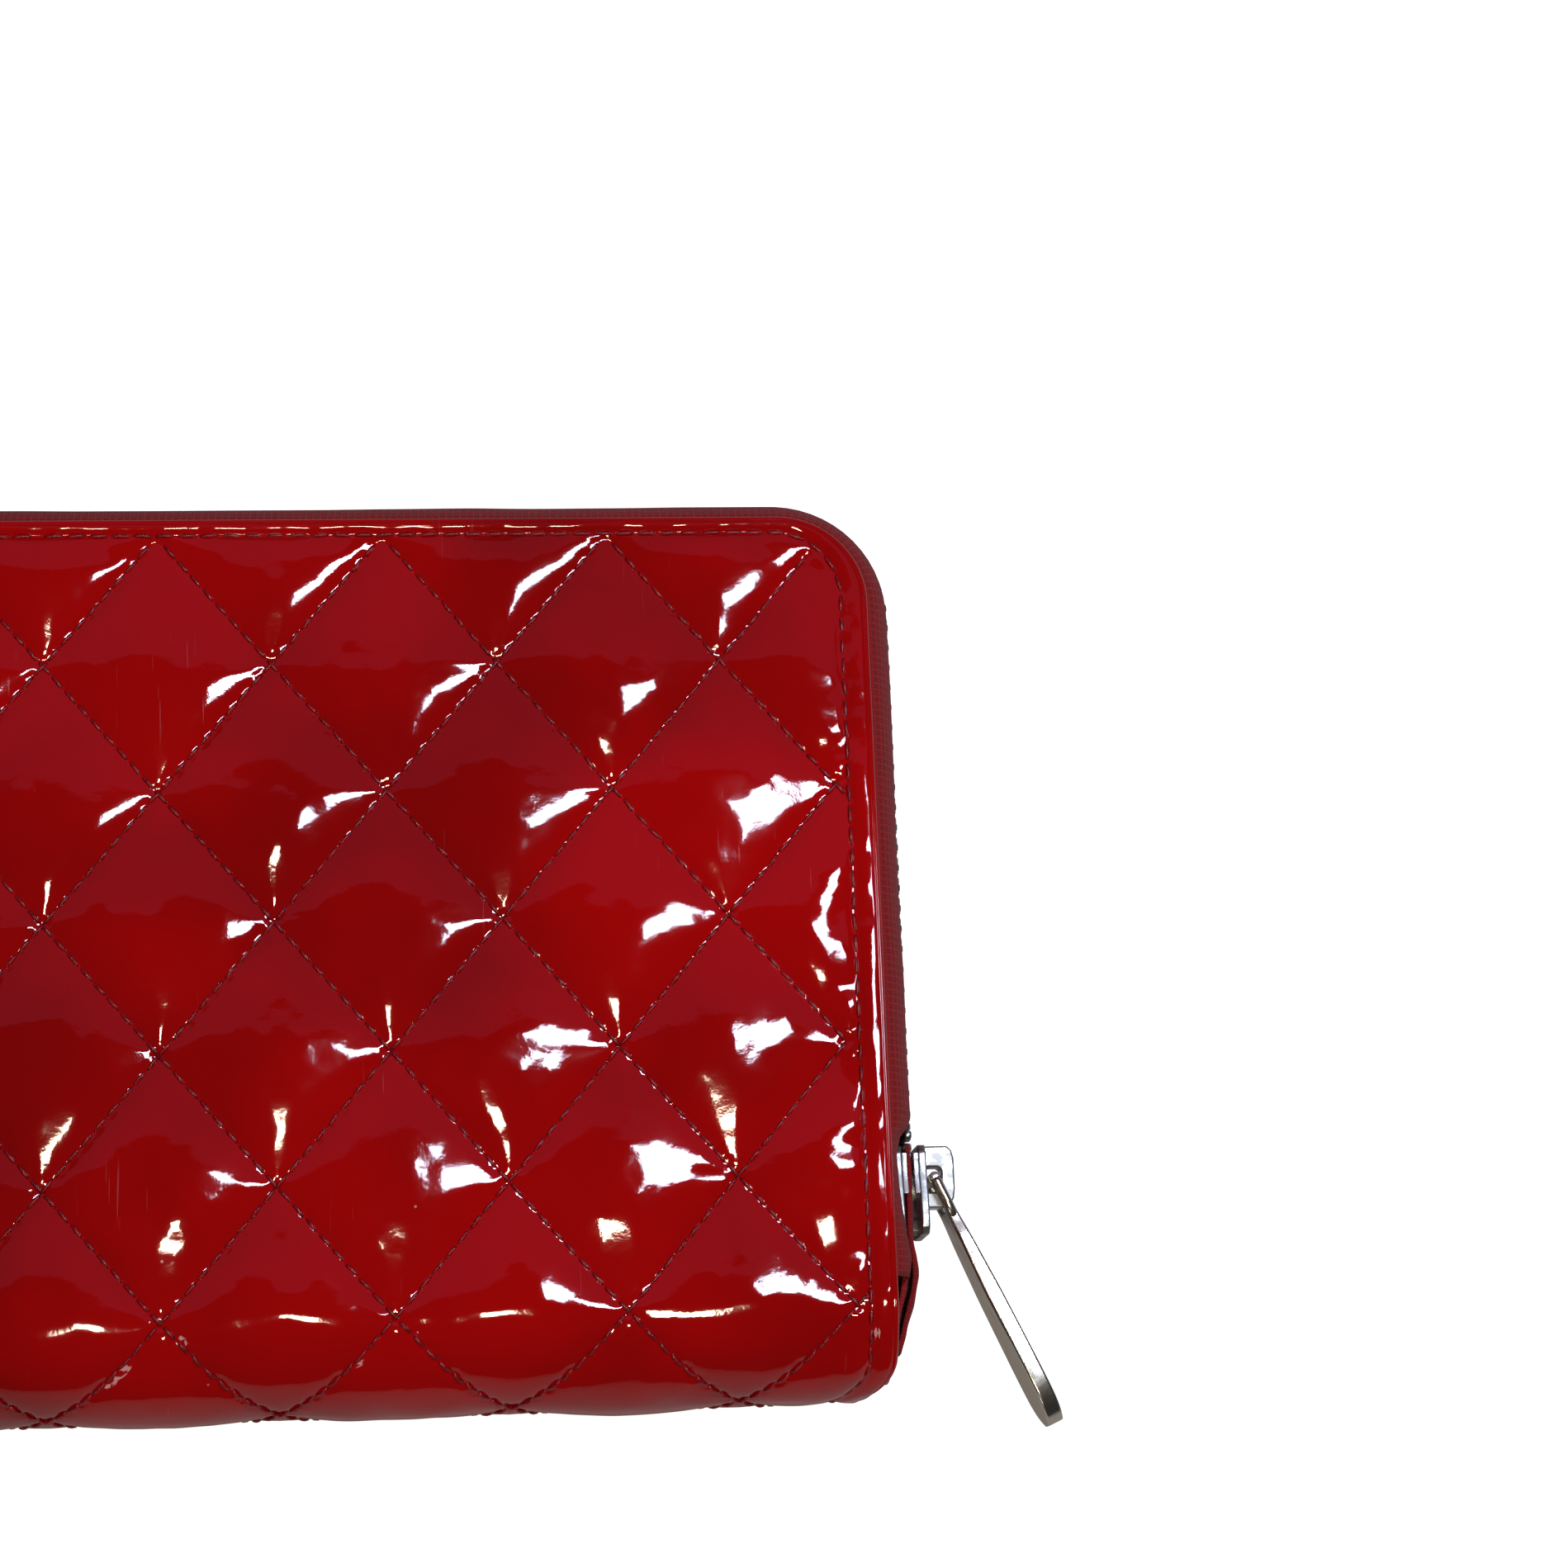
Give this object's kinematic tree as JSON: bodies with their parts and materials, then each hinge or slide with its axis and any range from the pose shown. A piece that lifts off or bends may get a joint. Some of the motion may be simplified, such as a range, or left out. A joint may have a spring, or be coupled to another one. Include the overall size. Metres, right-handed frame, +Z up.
{
  "type": "zip around wallet",
  "caption": "Long clutch wallet of quilted patent leather, closed by a zip round three sides, with a slider and flat puller and a zipped coin pocket inside.",
  "frame": {"origin": "middle of the flat face that the wallet lies on, on the back cover", "axes": "+X along the wallet to the closed end of the zip, +Y from the spine to the zip's top run, +Z up through the thickness from the back cover to the front cover"},
  "size_m": [0.2199, 0.113, 0.025],
  "materials": {
    "back_outer_panel": "quilted patent leather",
    "back_foam": "thin padding foam",
    "back_stiffener": "pressed fibre board",
    "back_lining": "smooth lining leather",
    "back_zip_tape": "woven zip tape",
    "back_slip_pocket": "smooth lining leather",
    "back_card_panel_1": "smooth lining leather",
    "back_card_panel_2": "smooth lining leather",
    "back_card_panel_3": "smooth lining leather",
    "back_card_panel_4": "smooth lining leather",
    "back_zip_teeth": "silver-tone plating, worn",
    "zip_closed_end_teeth": "silver-tone plating, worn",
    "zip_start_stop": "silver-tone plating, worn",
    "left_zip_end": "woven zip tape",
    "right_zip_end": "woven zip tape",
    "back_spine_leather": "quilted patent leather",
    "back_spine_foam": "thin padding foam",
    "back_spine_lining": "smooth lining leather",
    "left_back_gusset": "smooth lining leather",
    "right_back_gusset": "smooth lining leather",
    "coin_back_wall": "smooth lining leather",
    "coin_front_wall": "smooth lining leather",
    "coin_back_lining": "woven lining",
    "coin_front_lining": "woven lining",
    "coin_pocket_strip": "smooth lining leather",
    "coin_back_tape": "woven zip tape",
    "coin_front_tape": "woven zip tape",
    "coin_back_teeth": "silver-tone plating, worn",
    "coin_front_teeth": "silver-tone plating, worn",
    "coin_zip_stops": "silver-tone plating, worn",
    "front_spine_leather": "quilted patent leather",
    "front_spine_foam": "thin padding foam",
    "front_spine_lining": "smooth lining leather",
    "left_front_gusset": "smooth lining leather",
    "right_front_gusset": "smooth lining leather",
    "front_outer_panel": "quilted patent leather",
    "front_foam": "thin padding foam",
    "front_stiffener": "pressed fibre board",
    "front_lining": "smooth lining leather",
    "front_zip_tape": "woven zip tape",
    "front_slip_pocket": "smooth lining leather",
    "front_card_panel_1": "smooth lining leather",
    "front_card_panel_2": "smooth lining leather",
    "front_card_panel_3": "smooth lining leather",
    "front_card_panel_4": "smooth lining leather",
    "front_zip_teeth": "silver-tone plating, worn",
    "slider_body": "silver-tone plating, worn",
    "slider_crown": "silver-tone plating, worn",
    "puller": "silver-tone plating, worn",
    "coin_slider_body": "silver-tone plating, worn",
    "coin_slider_crown": "silver-tone plating, worn",
    "coin_puller": "silver-tone plating, worn"
  },
  "bodies": {
    "back_cover": {"back_outer_panel": "back_outer_panel", "back_foam": "back_foam", "back_stiffener": "back_stiffener", "back_lining": "back_lining", "back_zip_tape": "back_zip_tape", "back_slip_pocket": "back_slip_pocket", "back_card_panel_1": "back_card_panel_1", "back_card_panel_2": "back_card_panel_2", "back_card_panel_3": "back_card_panel_3", "back_card_panel_4": "back_card_panel_4", "back_zip_teeth": "back_zip_teeth", "zip_closed_end_teeth": "zip_closed_end_teeth", "zip_start_stop": "zip_start_stop", "left_zip_end": "left_zip_end", "right_zip_end": "right_zip_end", "back_spine_leather": "back_spine_leather", "back_spine_foam": "back_spine_foam", "back_spine_lining": "back_spine_lining", "left_back_gusset": "left_back_gusset", "right_back_gusset": "right_back_gusset"},
    "coin_pocket": {"coin_back_wall": "coin_back_wall", "coin_front_wall": "coin_front_wall", "coin_back_lining": "coin_back_lining", "coin_front_lining": "coin_front_lining", "coin_pocket_strip": "coin_pocket_strip", "coin_back_tape": "coin_back_tape", "coin_front_tape": "coin_front_tape", "coin_back_teeth": "coin_back_teeth", "coin_front_teeth": "coin_front_teeth", "coin_zip_stops": "coin_zip_stops", "front_spine_leather": "front_spine_leather", "front_spine_foam": "front_spine_foam", "front_spine_lining": "front_spine_lining", "left_front_gusset": "left_front_gusset", "right_front_gusset": "right_front_gusset"},
    "front_cover": {"front_outer_panel": "front_outer_panel", "front_foam": "front_foam", "front_stiffener": "front_stiffener", "front_lining": "front_lining", "front_zip_tape": "front_zip_tape", "front_slip_pocket": "front_slip_pocket", "front_card_panel_1": "front_card_panel_1", "front_card_panel_2": "front_card_panel_2", "front_card_panel_3": "front_card_panel_3", "front_card_panel_4": "front_card_panel_4", "front_zip_teeth": "front_zip_teeth"},
    "slider": {"slider_body": "slider_body", "slider_crown": "slider_crown"},
    "puller": {"puller": "puller"},
    "coin_slider": {"coin_slider_body": "coin_slider_body", "coin_slider_crown": "coin_slider_crown"},
    "coin_puller": {"coin_puller": "coin_puller"}
  },
  "joints": [
    {"name": "pocket_hinge", "type": "hinge", "parent": "back_cover", "child": "coin_pocket", "pos_m": [0, -0.0405, 0.0125], "axis": [1, 0, 0], "range_deg": [0, 30], "deforming": ["back_spine_leather", "back_spine_foam", "back_spine_lining", "left_back_gusset", "right_back_gusset"]},
    {"name": "cover_hinge", "type": "hinge", "parent": "coin_pocket", "child": "front_cover", "pos_m": [0, -0.0405, 0.0125], "axis": [1, 0, 0], "range_deg": [0, 30], "deforming": ["front_spine_leather", "front_spine_foam", "front_spine_lining", "left_front_gusset", "right_front_gusset"]},
    {"name": "slider_run", "type": "slide", "parent": "back_cover", "child": "slider", "axis": [0, 1, 0], "range_m": [0, 0.06], "deforming": ["back_zip_teeth", "front_zip_teeth", "zip_closed_end_teeth"]},
    {"name": "puller_swing", "type": "hinge", "parent": "slider", "child": "puller", "pos_m": [0.1041, -0.0264, 0.0125], "axis": [0, 0, 1], "range_deg": [-24, 150]},
    {"name": "coin_slider_run", "type": "slide", "parent": "coin_pocket", "child": "coin_slider", "axis": [1, 0, 0], "range_m": [0, 0.134], "deforming": ["coin_back_teeth", "coin_front_teeth"]},
    {"name": "coin_puller_swing", "type": "hinge", "parent": "coin_slider", "child": "coin_puller", "pos_m": [-0.0668, 0.03575, 0.0125], "axis": [0, 0, 1], "range_deg": [0, 178]}
  ],
  "couplings": [
    {"joint": "cover_hinge", "follows": "pocket_hinge", "ratio": 1}
  ]
}
